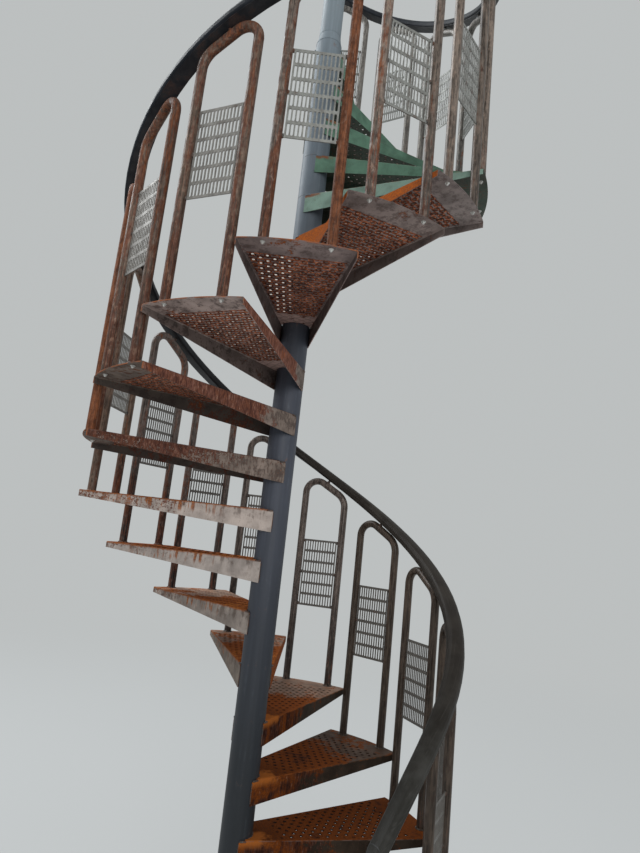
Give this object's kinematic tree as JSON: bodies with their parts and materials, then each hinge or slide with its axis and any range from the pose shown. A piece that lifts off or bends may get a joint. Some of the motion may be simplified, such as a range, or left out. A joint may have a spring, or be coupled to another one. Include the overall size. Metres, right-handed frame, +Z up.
{
  "type": "spiral staircase",
  "caption": "Outdoor steel spiral staircase with a round column, folded perforated treads, bent tube hoops with slotted panels and a winding handrail",
  "frame": {"origin": "on the column's axis, under the base plate", "axes": "+Z up along the column, the treads wind up counter-clockwise seen from above"},
  "size_m": [1.4978, 1.4975, 4.9218],
  "materials": {
    "column_paint": "worn slate blue paint",
    "rusty_sheet": "bare steel sheet with orange and brown rust",
    "green_sheet": "weathered green paint with rust chips",
    "rusty_tube": "brown weathered steel tube with rust",
    "slotted_panel": "dull galvanised sheet",
    "rail_steel": "dark weathered flat bar",
    "grip_plastic": "dark grey smooth plastic cover"
  },
  "bodies": {
    "root": {"base_plate": "column_paint", "column": "column_paint", "column_taper": "column_paint", "top_post": "column_paint", "post_cap": "column_paint", "tread_01": "rusty_sheet", "tread_02": "rusty_sheet", "tread_03": "rusty_sheet", "tread_04": "rusty_sheet", "tread_05": "rusty_sheet", "tread_06": "rusty_sheet", "tread_07": "rusty_sheet", "tread_08": "rusty_sheet", "tread_09": "rusty_sheet", "tread_10": "rusty_sheet", "tread_11": "rusty_sheet", "tread_12": "rusty_sheet", "tread_13": "rusty_sheet", "tread_14": "rusty_sheet", "tread_15": "rusty_sheet", "tread_16": "green_sheet", "tread_17": "green_sheet", "tread_18": "green_sheet", "tread_19": "green_sheet", "tread_20": "green_sheet", "hoops_01_to_04": "rusty_tube", "hoops_05_to_08": "rusty_tube", "hoops_09_to_12": "rusty_tube", "hoops_13_to_16": "rusty_tube", "hoops_17_to_20": "rusty_tube", "panels_01_to_04": "slotted_panel", "panels_05_to_08": "slotted_panel", "panels_09_to_12": "slotted_panel", "panels_13_to_16": "slotted_panel", "panels_17_to_20": "slotted_panel", "rail_bar_01_to_04": "rail_steel", "rail_bar_05_to_08": "rail_steel", "rail_bar_09_to_12": "rail_steel", "rail_bar_13_to_16": "rail_steel", "rail_bar_17_to_20": "rail_steel", "grip_01_to_04": "grip_plastic", "grip_05_to_08": "grip_plastic", "grip_09_to_12": "grip_plastic", "grip_13_to_16": "grip_plastic", "grip_17_to_20": "grip_plastic", "grip_cap_low": "grip_plastic", "grip_cap_high": "grip_plastic"}
  },
  "joints": []
}
